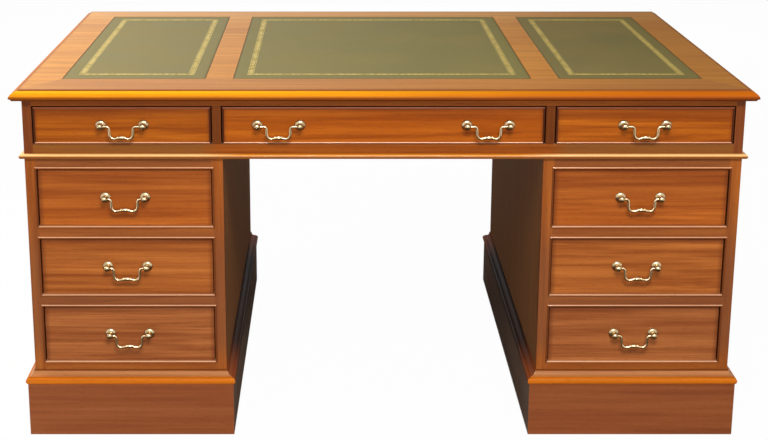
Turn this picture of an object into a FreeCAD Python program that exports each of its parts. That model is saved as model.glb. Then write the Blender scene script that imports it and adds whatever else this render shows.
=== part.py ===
import FreeCAD, Part
import math
import os

# Partners desk: a leather-topped frieze unit with three drawers stands on two pedestals. Each pedestal
# has three drawers at the front and a cupboard at the back. Millimetres, +Z up, the front faces -Y, and
# the origin is on the floor under the middle of the desk.

SIZES = {
    # whole desk
    "width": 1540, "depth": 1080, "height": 762,
    # top: board, edge moulding, cross-grained bands and leathers
    "top_thickness": 22, "veneer": 2, "moulding_reach": 17, "quirk": 3, "moulding_foot": 11.5,
    "moulding_cove": 4.5, "moulding_edge": 3, "end_band": 73, "front_band": 114, "back_band": 88,
    "divider_band": 58, "centre_leather": 634, "leather_sink": 0.4,
    # case: the frieze and the pedestals share these faces
    "case_setback": 23, "rail_depth": 22, "frieze_height": 115, "case_end": 19, "frieze_top_rail": 13.5,
    "frieze_bottom_rail": 19.9, "muntin": 18.5, "centre_opening": 673, "dust_board": 6,
    "runner_width": 26, "divider": 12, "stop_gap": 14, "waist_height": 10, "waist_reach": 10,
    # pedestals
    "pedestal_width": 413, "side_panel": 18, "stile": 23.5, "pedestal_top_rail": 23,
    "pedestal_rail": 27.4, "pedestal_bottom_rail": 19.5, "board": 18, "guide_height": 22,
    "opening_bead": 4, "opening_bead_reach": 2.6, "shelf": 16, "shelf_rise": 205, "bearer": 14,
    # plinths
    "plinth_height": 117, "plinth_reach": 15, "plinth_board": 25, "plinth_moulding": 28,
    "plinth_bead": 14, "plinth_nose": 4, "plinth_fillet": 2, "cavetto_foot": 12.5, "cavetto_head": 2.5,
    "glue_block": 40,
    # drawers
    "drawer_length": 470, "drawer_front": 20, "drawer_side": 12, "drawer_bottom": 6, "bottom_lift": 8,
    "side_drop": 8, "slide_clearance": 0.3, "foot_gap": 0.8, "frieze_gap": 2.5, "frieze_recess": 1.5,
    "cock_bead": 4, "cock_bead_reach": 3, "pedestal_gap": 2, "pedestal_recess": 4.5,
    # swan-neck handles
    "frieze_centres": 88.5, "pedestal_centres": 83.5, "centre_handle": 217, "pivot_reach": 18,
    "rose_radius": 11.5, "rose_rim": 1.5, "rose_swell": 0.9, "rose_height": 6, "neck_radius": 4.2,
    "head_radius": 7, "shank_radius": 2.4, "nut_height": 4, "nut_radius": 5, "fit": 0.08,
    "frieze_bail": 50, "pedestal_bail": 56, "bail_drop": 27.5, "bail_lean": 1.5, "bail_rise": 4.5,
    "rod_radius": 2.9, "pin_radius": 1.7, "pin_overlap": 1.5, "elbow_radius": 5.5, "corner_radius": 9.5,
    "knop_radius": 4.4, "knop_length": 17, "head_gap": 0.4,
    # cupboard doors
    "door_thickness": 20, "door_gap": 1.6, "hinge_length": 60, "hinge_inset": 55, "hinge_leaf": 0.6,
    "hinge_depth": 17, "knuckle_radius": 3, "hinge_pin": 1.3, "hinge_gap": 0.3, "face_gap": 0.2,
    "knob_inset": 22, "door_bead_inset": 42, "knob_radius": 9, "knob_reach": 22,
    # every cut runs past the piece by this much
    "overrun": 5,
}
# Where the middle of each hollow lies, as shares of its run and its rise
COVE_SHARES = (0.62, 0.30)
CAVETTO_SHARES = (0.68, 0.30)
BEAD_SHOULDER_SHARE = 0.35
KNOP_WAIST_SHARE = 0.72
KNOP_RING_SHARE = 0.3

doc = FreeCAD.newDocument("partners_desk")
sheet = doc.addObject("Spreadsheet::Sheet", "Sizes")
for row, (alias, number) in enumerate(SIZES.items(), 1):
    sheet.set(f"A{row}", alias)
    sheet.set(f"B{row}", str(number))
    sheet.setAlias(f"B{row}", alias)
doc.recompute()


class Length:
    """A length of the desk, kept as an expression over the sheet's cells."""

    def __init__(self, text):
        self.text = str(text)

    def __str__(self):
        return self.text

    def __add__(self, other):
        return Length(f"({self} + {other})")

    def __sub__(self, other):
        return Length(f"({self} - {other})")

    def __mul__(self, factor):
        return Length(f"({self} * {factor})")

    def __truediv__(self, factor):
        return Length(f"({self} / {factor})")

    def __neg__(self):
        return Length(f"(0 - {self})")

    def mm(self):
        return float(sheet.evalExpression(self.text))


class Sheet:
    """Each cell of the sheet by its alias, as a Length."""

    def __getattr__(self, alias):
        return Length(f"Sizes.{alias}")


s = Sheet()
nodes = []

# Planes that the pieces share
case_x = s.width / 2 - s.case_setback
case_y = s.depth / 2 - s.case_setback
top_z = s.height - s.top_thickness
frieze_z = top_z - s.frieze_height
pedestal_z = frieze_z - s.waist_height
foot_z = s.plinth_height + s.plinth_moulding
frame_y = case_y - s.rail_depth
stop_y = -case_y + s.pedestal_recess + s.drawer_length + s.stop_gap
inner_x = case_x - s.pedestal_width
arris_x = s.width / 2 - s.moulding_reach
arris_y = s.depth / 2 - s.moulding_reach


def span(side, near, far):
    """The interval from near to far on one side of the middle, low end first."""
    return (near, far) if side > 0 else (-far, -near)


def vec(x, y, z):
    return FreeCAD.Vector(x, y, z)


def box(x, y, z):
    """A board between two planes on each axis."""
    board = doc.addObject("Part::Box", "board")
    for axis, edge, (low, high) in zip("xyz", ("Length", "Width", "Height"), (x, y, z)):
        board.setExpression(edge, f"{high} - ({low})")
        board.setExpression(f"Placement.Base.{axis}", str(low))
    return board


def shaped(shape, x, y, z, rotation=FreeCAD.Rotation()):
    """A piece with a moulded, turned or bent shape, set at a place."""
    piece = doc.addObject("Part::Feature", "piece")
    piece.Shape = shape
    piece.Placement = FreeCAD.Placement(vec(0, 0, 0), rotation)
    for axis, place in zip("xyz", (x, y, z)):
        piece.setExpression(f"Placement.Base.{axis}", str(place))
    return piece


def bored(board, face, holes):
    """A drawer front with round holes through it from its face, each given by its place and radius."""
    drills = []
    for x, z, radius in holes:
        drill = doc.addObject("Part::Cylinder", "drill")
        drill.setExpression("Radius", str(radius))
        drill.setExpression("Height", f"2 * {s.overrun} + {s.drawer_front}")
        drill.Placement = FreeCAD.Placement(vec(0, 0, 0), FreeCAD.Rotation(vec(1, 0, 0), -90))
        drill.setExpression("Placement.Base.x", str(x))
        drill.setExpression("Placement.Base.y", str(face - s.overrun))
        drill.setExpression("Placement.Base.z", str(z))
        drills.append(drill)
    bundle = doc.addObject("Part::Compound", "drills")
    bundle.Links = drills
    cut = doc.addObject("Part::Cut", "bored")
    cut.Base = board
    cut.Tool = bundle
    return cut


def node(label, *members):
    """One named sub-part: a single piece, or a group of separate solids."""
    piece = members[0]
    if len(members) > 1:
        piece = doc.addObject("Part::Compound", label)
        piece.Links = list(members)
    piece.Label = label
    nodes.append(piece)


# Outlines are closed lists of points, and a pair of points between brackets is an arc's middle and end
def outline(start, *steps):
    """A face in the YZ plane from lines and arcs, with u towards -Y and v up."""
    def at(point):
        return vec(0, -point[0], point[1])

    edges = []
    here = start
    for step in [*steps, start]:
        if isinstance(step[0], tuple):
            edges.append(Part.Arc(at(here), at(step[0]), at(step[1])).toShape())
            here = step[1]
        else:
            edges.append(Part.LineSegment(at(here), at(step)).toShape())
            here = step
    return Part.Face(Part.Wire(edges))


def mitred_lengths(section, half_x, half_y, reach):
    """Four lengths of a moulding around a rectangle, mitred at the corners, as separate solids."""
    lengths = []
    for quarter in range(4):
        run, out = (half_y, half_x) if quarter % 2 else (half_x, half_y)
        end = run + reach
        bar = section.copy()
        bar.translate(vec(-end, -out, 0))
        bar = bar.extrude(vec(2 * end, 0, 0))
        inner = run - reach
        corners = [(-end, -out - reach), (end, -out - reach), (inner, reach - out), (-inner, reach - out)]
        loop = Part.makePolygon([vec(x, y, 0) for x, y in [*corners, corners[0]]])
        low = bar.BoundBox.ZMin - reach
        wedge = Part.Face(loop).extrude(vec(0, 0, bar.BoundBox.ZLength + 2 * reach))
        wedge.translate(vec(0, 0, low))
        length = bar.common(wedge).Solids[0]
        length.rotate(vec(0, 0, 0), vec(0, 0, 1), 90 * quarter)
        lengths.append(length)
    return Part.makeCompound(lengths)


def bead_section(width, rise, start):
    """A half-round bead on a flat seat, from start across its width."""
    shoulder = BEAD_SHOULDER_SHARE * rise
    far = start + width
    return outline((start, 0), (far, 0), (far, shoulder), ((start + width / 2, rise), (start, shoulder)))


def upright(facing):
    """Turns a frame of beads that lies flat so that it stands and faces the front or the back."""
    stand = FreeCAD.Rotation(vec(1, 0, 0), 90)
    turn = FreeCAD.Rotation(vec(0, 0, 1), 0 if facing < 0 else 180)
    return turn.multiply(stand)


def spun(start, *steps):
    """A solid of revolution about the -Y axis, from an outline in (distance out, radius)."""
    return outline(start, *steps).revolve(vec(0, 0, 0), vec(0, 1, 0), 360)


# Desk top: a core board carries the bands and the leathers, and the edge moulding goes round it
board_top = s.height - s.veneer
leather_x = arris_x - s.end_band
leather_y = (-arris_y + s.front_band, arris_y - s.back_band)
divider_x = s.centre_leather / 2 + s.divider_band

node("top_board", box((-arris_x, arris_x), (-arris_y, arris_y), (top_z, board_top)))


def edge_section():
    """The edge moulding: a cove below, a narrow edge, and a wide round that lies level at the quirk."""
    reach = s.moulding_reach.mm()
    foot = s.moulding_foot.mm()
    cove = s.moulding_cove.mm()
    edge = cove + s.moulding_edge.mm()
    crown = (s.top_thickness - s.quirk).mm()
    hollow = (foot + COVE_SHARES[0] * (reach - foot) / 2, COVE_SHARES[1] * cove * 2)
    rise = crown - edge
    radius = (reach ** 2 + rise ** 2) / (2 * rise)
    half_turn = math.asin(reach / radius) / 2
    swell = (radius * math.sin(half_turn), crown - radius * (1 - math.cos(half_turn)))
    return outline((0, 0), (foot, 0), (hollow, (reach, cove)), (reach, edge), (swell, (0, crown)))


moulding_room = (s.moulding_reach + s.overrun).mm()
moulding = mitred_lengths(edge_section(), arris_x.mm(), arris_y.mm(), moulding_room)
node("top_edge_moulding", shaped(moulding, 0, 0, top_z))


# The band along each edge has mitred ends that run to the leathers' corners
def level_corners(half_x, front, back):
    return [vec(-half_x, front, 0), vec(half_x, front, 0), vec(half_x, back, 0), vec(-half_x, back, 0)]


bands = []
outer = level_corners(arris_x.mm(), -arris_y.mm(), arris_y.mm())
inner = level_corners(leather_x.mm(), *(plane.mm() for plane in leather_y))
for edge in range(4):
    on = (edge + 1) % 4
    loop = Part.makePolygon([outer[edge], outer[on], inner[on], inner[edge], outer[edge]])
    bands.append(shaped(Part.Face(loop).extrude(vec(0, 0, s.veneer.mm())), 0, 0, board_top))
for side in (-1, 1):
    x = span(side, s.centre_leather / 2, divider_x)
    bands.append(box(x, leather_y, (board_top, s.height)))
node("top_bands", *bands)

for label, x in (
    ("leather_left", span(-1, divider_x, leather_x)),
    ("leather_centre", (-s.centre_leather / 2, s.centre_leather / 2)),
    ("leather_right", span(1, divider_x, leather_x)),
):
    node(label, box(x, leather_y, (board_top, s.height - s.leather_sink)))

# Frieze: ends, rails and muntins, alike at the front and the back
end_x = case_x - s.case_end
muntin_x = s.centre_opening / 2 + s.muntin
frieze_low = frieze_z + s.frieze_bottom_rail
frieze_high = top_z - s.frieze_top_rail
bays = {
    "left": (-end_x, -muntin_x),
    "centre": (-s.centre_opening / 2, s.centre_opening / 2),
    "right": (muntin_x, end_x),
}
frame = []
for side in (-1, 1):
    frame.append(box(span(side, end_x, case_x), (-case_y, case_y), (frieze_z, top_z)))
for facing in (-1, 1):
    rail_y = span(facing, frame_y, case_y)
    for z in ((frieze_z, frieze_low), (frieze_high, top_z)):
        frame.append(box((-end_x, end_x), rail_y, z))
    for side in (-1, 1):
        frame.append(box(span(side, s.centre_opening / 2, muntin_x), rail_y, (frieze_low, frieze_high)))
node("frieze_frame", *frame)

# Inside the frieze: a dust board, partitions behind the muntins, and each drawer's runners and kickers
dust_top = frieze_z + s.dust_board
inside = [box((-end_x, end_x), (-frame_y, frame_y), (frieze_z, dust_top))]
for side in (-1, 1):
    inside.append(box(span(side, s.centre_opening / 2, muntin_x), (-frame_y, frame_y), (dust_top, top_z)))
for low, high in bays.values():
    for x in ((low, low + s.runner_width), (high - s.runner_width, high)):
        for z in ((dust_top, frieze_low), (frieze_high, top_z)):
            inside.append(box(x, (-frame_y, stop_y), z))
    inside.append(box((low, high), (stop_y, stop_y + s.divider), (dust_top, top_z)))
node("frieze_inside", *inside)

# False fronts fill the frieze openings at the back
false_fronts = []
bead = bead_section(s.cock_bead.mm(), s.cock_bead_reach.mm(), -s.cock_bead.mm())
bead_reach = (s.cock_bead + s.overrun).mm()
face_y = case_y - s.frieze_recess
for low, high in bays.values():
    x = (low + s.frieze_gap, high - s.frieze_gap)
    z = (frieze_low + s.foot_gap, frieze_high - s.frieze_gap)
    false_fronts.append(box((low, high), (frame_y - s.divider, frame_y), (frieze_low, frieze_high)))
    false_fronts.append(box(x, (frame_y, face_y), z))
    half_x = (x[1] - x[0]) / 2
    half_z = (z[1] - z[0]) / 2
    ring = mitred_lengths(bead, half_x.mm(), half_z.mm(), bead_reach)
    false_fronts.append(shaped(ring, x[0] + half_x, face_y, z[0] + half_z, upright(1)))
node("frieze_false_fronts", *false_fronts)


# Waist moulding under the frieze, with a round nose, mitred at the corners
def waist_section():
    rise = s.waist_height.mm()
    nose = s.waist_reach.mm()
    seat = -s.rail_depth.mm()
    flat = nose - rise / 2
    return outline((seat, 0), (flat, 0), ((nose, rise / 2), (flat, rise)), (seat, rise))


waist_room = (s.rail_depth + s.overrun).mm()
waist = mitred_lengths(waist_section(), case_x.mm(), case_y.mm(), waist_room)
node("waist_moulding", shaped(waist, 0, 0, pedestal_z))

# Pedestals: the drawer openings at the front, from the top down, and the cupboard's opening at the back
rails_total = s.pedestal_top_rail + s.pedestal_bottom_rail + s.pedestal_rail * 2
opening_z = (pedestal_z - foot_z - rails_total) / 3
cupboard_low = foot_z + s.pedestal_bottom_rail
cupboard_high = pedestal_z - s.pedestal_top_rail
tiers = {
    "lower": cupboard_low,
    "middle": cupboard_low + opening_z + s.pedestal_rail,
    "upper": cupboard_low + (opening_z + s.pedestal_rail) * 2,
}
opening_near = inner_x + s.stile
opening_far = case_x - s.stile
carcass_near = inner_x + s.side_panel
carcass_far = case_x - s.side_panel
sides = {"left": -1, "right": 1}


def plinth_section():
    """The plinth moulding: a round bead, a fillet, and a hollow that rises to the pedestal's face."""
    seat = s.plinth_reach.mm()
    bead_rise = s.plinth_bead.mm()
    fillet = bead_rise + s.plinth_fillet.mm()
    head = s.plinth_moulding.mm() - s.plinth_fillet.mm()
    foot = s.cavetto_foot.mm()
    lip = s.cavetto_head.mm()
    nose = (seat + s.plinth_nose.mm(), bead_rise / 2)
    hollow = (foot - CAVETTO_SHARES[0] * (foot - lip), fillet + CAVETTO_SHARES[1] * (head - fillet))
    return outline(
        (0, 0), (seat, 0), (nose, (seat, bead_rise)), (foot, bead_rise), (foot, fillet),
        (hollow, (lip, head)), (lip, s.plinth_moulding.mm()), (0, s.plinth_moulding.mm()),
    )


opening_ring = mitred_lengths(
    bead_section(s.opening_bead.mm(), s.opening_bead_reach.mm(), 0),
    ((opening_far - opening_near) / 2).mm(), (opening_z / 2).mm(), (s.opening_bead + s.overrun).mm(),
)
for name, side in sides.items():
    near_stile = span(side, inner_x, opening_near)
    far_stile = span(side, opening_far, case_x)
    opening_x = span(side, opening_near, opening_far)
    carcass_x = span(side, carcass_near, carcass_far)
    middle_x = (opening_near + opening_far) / 2 * side

    # Side panels stand on the plinth and run from frame to frame
    node(f"{name}_pedestal_sides", *(
        box(x, (-frame_y, frame_y), (s.plinth_height, pedestal_z))
        for x in (span(side, inner_x, carcass_near), span(side, carcass_far, case_x))
    ))

    # Frames at the front and the back: stiles, rails, and a bead round each drawer opening
    frame = []
    for facing in (-1, 1):
        rail_y = span(facing, frame_y, case_y)
        frame += [box(x, rail_y, (s.plinth_height, pedestal_z)) for x in (near_stile, far_stile)]
        frame.append(box(opening_x, rail_y, (s.plinth_height, cupboard_low)))
        frame.append(box(opening_x, rail_y, (cupboard_high, pedestal_z)))
    for tier in ("middle", "upper"):
        frame.append(box(opening_x, span(-1, frame_y, case_y), (tiers[tier] - s.pedestal_rail, tiers[tier])))
    for low in tiers.values():
        frame.append(shaped(opening_ring, middle_x, -case_y, low + opening_z / 2, upright(-1)))
    node(f"{name}_pedestal_frame", *frame)

    # Inside: bottom and top boards, the wall between drawers and cupboard, runners, guides and a shelf
    back_y = stop_y + s.divider
    shelf_low = cupboard_low + s.shelf_rise
    inside = [
        box(carcass_x, (-frame_y, frame_y), (cupboard_low - s.board, cupboard_low)),
        box(carcass_x, (-frame_y, frame_y), (pedestal_z - s.board, pedestal_z)),
        box(carcass_x, (stop_y, back_y), (cupboard_low, pedestal_z - s.board)),
        box(carcass_x, (back_y, frame_y - s.stop_gap), (shelf_low, shelf_low + s.shelf)),
    ]
    for x in (
        span(side, carcass_near, carcass_near + s.bearer),
        span(side, carcass_far - s.bearer, carcass_far),
    ):
        inside.append(box(x, (back_y, frame_y - s.stop_gap), (shelf_low - s.bearer, shelf_low)))
    for x in (
        span(side, carcass_near, carcass_near + s.runner_width),
        span(side, carcass_far - s.runner_width, carcass_far),
    ):
        for tier in ("middle", "upper"):
            inside.append(box(x, (-frame_y, stop_y), (tiers[tier] - s.pedestal_rail, tiers[tier])))
    for x in (span(side, carcass_near, opening_near), span(side, opening_far, carcass_far)):
        for low in tiers.values():
            inside.append(box(x, (-frame_y, stop_y), (low, low + s.guide_height)))
    node(f"{name}_pedestal_inside", *inside)

    # Plinth: four boards butted at the corners, glue blocks inside them, and a mitred moulding on top
    plinth_near = inner_x - s.plinth_reach
    plinth_far = case_x + s.plinth_reach
    plinth_y = case_y + s.plinth_reach
    plinth_z = (0, s.plinth_height)
    plinth = [
        box(span(side, plinth_near, plinth_near + s.plinth_board), (-plinth_y, plinth_y), plinth_z),
        box(span(side, plinth_far - s.plinth_board, plinth_far), (-plinth_y, plinth_y), plinth_z),
    ]
    between = span(side, plinth_near + s.plinth_board, plinth_far - s.plinth_board)
    block_far = plinth_y - s.plinth_board
    block_z = (s.glue_block, s.plinth_height)
    for facing in (-1, 1):
        plinth.append(box(between, span(facing, block_far, plinth_y), plinth_z))
        for x in ((between[0], between[0] + s.glue_block), (between[1] - s.glue_block, between[1])):
            plinth.append(box(x, span(facing, block_far - s.glue_block, block_far), block_z))
    ring = mitred_lengths(plinth_section(), (s.pedestal_width / 2).mm(), case_y.mm(),
                          (s.plinth_reach + s.plinth_nose + s.overrun).mm())
    plinth.append(shaped(ring, (inner_x + case_x) / 2 * side, 0, s.plinth_height))
    node(f"{name}_plinth", *plinth)


# Swan-neck handles: two turned posts with roses, bolted through the front, and a bail that hangs in them
def domed_rose(facing):
    """A rose's outline from its rim up to the neck, as steps along the axis and out from it."""
    rose = s.rose_radius.mm()
    neck = s.neck_radius.mm()
    rim = s.rose_rim.mm()
    crown = s.rose_height.mm()
    swell = s.rose_swell.mm()
    middle = (facing * ((rim + crown) / 2 + swell), (rose + neck) / 2 + swell)
    return [(0, rose), (facing * rim, rose), (middle, (facing * crown, neck))]


def post():
    """A post: rose, neck and ball head on one shank, with a bore for the bail's pin on the inner side."""
    reach = s.pivot_reach.mm()
    head = s.head_radius.mm()
    neck = s.neck_radius.mm()
    start = reach - math.sqrt(head ** 2 - neck ** 2)
    tail = -(s.drawer_front + s.nut_height).mm()
    shank = s.shank_radius.mm()
    body = spun(
        (tail, 0), (tail, shank), (0, shank), *domed_rose(1), (start, neck),
        ((reach, head), (reach + head, 0)),
    )
    bore = Part.makeCylinder((s.pin_radius + s.fit).mm(), head + (s.pin_overlap + s.fit).mm(),
                             vec(head, -reach, 0), vec(-1, 0, 0))
    return body.cut(bore).Solids[0]


def nut():
    """A hexagon nut on the shank, behind the drawer front."""
    corners = [math.radians(60 * k) for k in range(7)]
    radius = s.nut_radius.mm()
    face = Part.Face(Part.makePolygon([vec(radius * math.cos(a), 0, radius * math.sin(a)) for a in corners]))
    blank = face.extrude(vec(0, s.nut_height.mm(), 0))
    hole = Part.makeCylinder((s.shank_radius + s.fit).mm(), s.nut_height.mm(), vec(0, 0, 0), vec(0, 1, 0))
    blank = blank.cut(hole)
    blank.translate(vec(0, s.drawer_front.mm(), 0))
    return blank.Solids[0]


def pair_of_posts(centres):
    half = (centres / 2).mm()
    pieces = []
    for side in (-1, 1):
        for piece in (post(), nut()):
            if side > 0:
                piece = piece.mirror(vec(0, 0, 0), vec(1, 0, 0))
            piece.translate(vec(side * half, 0, 0))
            pieces.append(piece)
    return Part.makeCompound(pieces)


def rounded_path(points, radii):
    """A wire through the points, with a tangent arc of the given radius at each inner point."""
    edges = []
    here = points[0]
    for before, corner, after, radius in zip(points, points[1:], points[2:], radii):
        back = (before - corner).normalize()
        on = (after - corner).normalize()
        half = back.getAngle(on) / 2
        first = corner + back * (radius / math.tan(half))
        last = corner + on * (radius / math.tan(half))
        centre = corner + (back + on).normalize() * (radius / math.sin(half))
        middle = centre + (corner - centre).normalize() * radius
        edges.append(Part.LineSegment(here, first).toShape())
        edges.append(Part.Arc(first, middle, last).toShape())
        here = last
    edges.append(Part.LineSegment(here, points[-1]).toShape())
    return Part.Wire(edges)


def bail(centres, leg_spacing):
    """A bail: pins, an arm in from each post, a leg down from each arm, and a bowed bar with a ringed knop."""
    half = (centres / 2).mm()
    arm = half - (s.head_radius + s.head_gap).mm()
    leg = (leg_spacing / 2).mm()
    foot = leg - s.bail_lean.mm()
    drop = s.bail_drop.mm()
    rise = s.bail_rise.mm()
    rod = s.rod_radius.mm()
    out = -s.pivot_reach.mm()
    points = [vec(-arm, out, 0), vec(-leg, out, 0), vec(-foot, out, -drop), vec(0, out, rise - drop)]
    points += [vec(-p.x, p.y, p.z) for p in reversed(points[:-1])]
    elbow = s.elbow_radius.mm()
    corner = s.corner_radius.mm()
    bend = foot * rod / rise
    path = rounded_path(points, [elbow, corner, bend, corner, elbow])
    circle = Part.Wire(Part.makeCircle(rod, points[0], vec(1, 0, 0)))
    body = path.makePipeShell([circle], True, False)
    root = arm - rod
    pin_length = half + s.pin_overlap.mm() - root
    for side in (-1, 1):
        pin = Part.makeCylinder(s.pin_radius.mm(), pin_length, vec(side * root, out, 0), vec(side, 0, 0))
        body = body.fuse(pin)
    knop = s.knop_radius.mm()
    run = s.knop_length.mm() / 2
    waist = KNOP_WAIST_SHARE * knop
    ring = KNOP_RING_SHARE * run
    section = Part.Wire([
        Part.LineSegment(vec(-run, 0, 0), vec(-run, 0, waist)).toShape(),
        Part.Arc(vec(-run, 0, waist), vec(-run + ring / 2, 0, knop), vec(-run + ring, 0, waist)).toShape(),
        Part.Arc(vec(-run + ring, 0, waist), vec(0, 0, knop), vec(run - ring, 0, waist)).toShape(),
        Part.Arc(vec(run - ring, 0, waist), vec(run - ring / 2, 0, knop), vec(run, 0, waist)).toShape(),
        Part.LineSegment(vec(run, 0, waist), vec(run, 0, 0)).toShape(),
        Part.LineSegment(vec(run, 0, 0), vec(-run, 0, 0)).toShape(),
    ])
    swell = Part.Face(section).revolve(vec(0, 0, 0), vec(1, 0, 0), 360)
    swell.translate(path.discretize(3)[1])
    return body.fuse(swell).removeSplitter().Solids[0]


def handle(centres, leg_spacing):
    """What a drawer needs for its handles: the centres, the pair of posts and the bail."""
    return centres, pair_of_posts(centres), bail(centres, leg_spacing)


frieze_handle = handle(s.frieze_centres, s.frieze_bail)
pedestal_handle = handle(s.pedestal_centres, s.pedestal_bail)


# Drawers: a front with its handles bolted through it, and a box of two sides, a back and a bottom
def drawer(name, x, low, high, gap, recess, handle_offsets, fittings, beaded):
    centres, posts_shape, bail_shape = fittings
    face = -case_y + recess
    behind = face + s.drawer_front
    end = face + s.drawer_length
    front_x = (x[0] + gap, x[1] - gap)
    front_z = (low + s.foot_gap, high - gap)
    middle_x = (x[0] + x[1]) / 2
    pivot_z = (low + high) / 2
    half_pitch = centres / 2
    places = [middle_x + offset for offset in handle_offsets]
    hole = s.shank_radius + s.fit
    holes = [(place + half_pitch * side, pivot_z, hole) for place in places for side in (-1, 1)]
    pieces = [bored(box(front_x, (face, behind), front_z), face, holes)]
    if beaded:
        half_x = (front_x[1] - front_x[0]) / 2
        half_z = (front_z[1] - front_z[0]) / 2
        ring = mitred_lengths(bead, half_x.mm(), half_z.mm(), bead_reach)
        pieces.append(shaped(ring, middle_x, face, front_z[0] + half_z, upright(-1)))
    node(f"{name}_front", *pieces)

    side_z = (low + s.slide_clearance, high - gap - s.side_drop)
    between = (front_x[0] + s.drawer_side, front_x[1] - s.drawer_side)
    floor = low + s.bottom_lift
    node(
        f"{name}_box",
        box((front_x[0], between[0]), (behind, end), side_z),
        box((between[1], front_x[1]), (behind, end), side_z),
        box(between, (end - s.drawer_side, end), (floor, side_z[1])),
        box(between, (behind, end - s.drawer_side), (floor, floor + s.drawer_bottom)),
    )
    node(f"{name}_posts", *(shaped(posts_shape, place, face, pivot_z) for place in places))
    for place, suffix in zip(places, ("bail",) if len(places) == 1 else ("left_bail", "right_bail")):
        node(f"{name}_{suffix}", shaped(bail_shape, place, face, pivot_z))


for name, x in bays.items():
    offsets = [-s.centre_handle, s.centre_handle] if name == "centre" else [Length(0)]
    drawer(
        f"{name}_frieze_drawer", x, frieze_low, frieze_high, s.frieze_gap, s.frieze_recess, offsets,
        frieze_handle, True,
    )
for name, side in sides.items():
    x = span(side, opening_near, opening_far)
    for tier, low in tiers.items():
        high = low + opening_z
        drawer(
            f"{name}_{tier}_drawer", x, low, high, s.pedestal_gap, s.pedestal_recess, [Length(0)],
            pedestal_handle, False,
        )

# Cupboard doors at the back: a flush leaf with a bead, a knob, and two butt hinges on the outer stile
hinge_x = opening_far - s.door_gap / 2
hinge_y = case_y + s.knuckle_radius + s.face_gap
door_low = cupboard_low + s.door_gap
door_high = cupboard_high - s.door_gap
hinge_places = (door_low + s.hinge_inset, door_high - s.hinge_inset - s.hinge_length)


def hinge_half(side, fixed):
    """One leaf of a butt hinge with its knuckles, the fixed one with the pin. The axis is at x = 0, y = 0."""
    third = s.hinge_length.mm() / 3
    gap = s.hinge_gap.mm()
    radius = s.knuckle_radius.mm()
    pin = s.hinge_pin.mm()
    thick = s.hinge_leaf.mm()
    to_face = radius + s.face_gap.mm()
    wall = (s.door_gap / 2).mm()
    out = side if fixed else -side
    low_x = min(out * wall, out * (wall - thick))
    spans = ((0, third - gap), (2 * third + gap, 3 * third)) if fixed else ((third, 2 * third),)
    leaf = Part.makeBox(thick, s.hinge_depth.mm(), 3 * third, vec(low_x, -to_face - s.hinge_depth.mm(), 0))
    for low, high in spans:
        knuckle = Part.makeCylinder(radius, high - low, vec(0, 0, low))
        tab = Part.makeBox(thick, to_face, high - low, vec(low_x, -to_face, low))
        leaf = leaf.fuse(knuckle.fuse(tab))
    hole = pin + s.fit.mm()
    leaf = leaf.cut(Part.makeCylinder(hole, 3 * third, vec(0, 0, 0)))
    if fixed:
        leaf = Part.makeCompound([leaf.Solids[0], Part.makeCylinder(pin, 3 * third)])
    return leaf


def knob():
    """A turned knob on a rose, which stands out towards +Y."""
    radius = s.knob_radius.mm()
    tip = -s.knob_reach.mm()
    neck = s.neck_radius.mm()
    centre = tip + radius
    start = centre + math.sqrt(radius ** 2 - neck ** 2)
    return spun((0, 0), *domed_rose(-1), (start, neck), ((centre, radius), (tip, 0)))


fixed_hinges = []
for name, side in sides.items():
    leaf_x = span(side, opening_near + s.door_gap, opening_far - s.door_gap)
    half_x = (leaf_x[1] - leaf_x[0]) / 2
    half_z = (door_high - door_low) / 2
    ring_half = [(half - s.door_bead_inset).mm() for half in (half_x, half_z)]
    ring = mitred_lengths(bead, *ring_half, bead_reach)
    node(
        f"{name}_cupboard_door",
        box(leaf_x, (case_y - s.door_thickness, case_y), (door_low, door_high)),
        shaped(ring, leaf_x[0] + half_x, case_y, door_low + half_z, upright(1)),
    )
    brass = [shaped(knob(), (opening_near + s.knob_inset) * side, case_y, door_low + half_z)]
    for low in hinge_places:
        brass.append(shaped(hinge_half(side, False), hinge_x * side, hinge_y, low))
        fixed_hinges.append(shaped(hinge_half(side, True), hinge_x * side, hinge_y, low))
    node(f"{name}_door_brass", *brass)
node("hinge_leaves_and_pins", *fixed_hinges)

doc.recompute()
faults = [o.Label for o in doc.Objects if {"Invalid", "Error"} & set(o.State)]
faults += [o.Label for o in nodes if o.Shape.isNull() or not o.Shape.isValid() or not o.Shape.Solids]
if faults:
    raise RuntimeError(f"pieces that failed: {faults}")

os.makedirs("parts", exist_ok=True)
for piece in nodes:
    piece.Shape.exportStep(f"parts/{piece.Label}.step")
print(len(nodes), "sub-parts,", sum(len(p.Shape.Solids) for p in nodes), "solids")
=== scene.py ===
import math

import bmesh
import bpy
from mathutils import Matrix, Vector, noise


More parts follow.
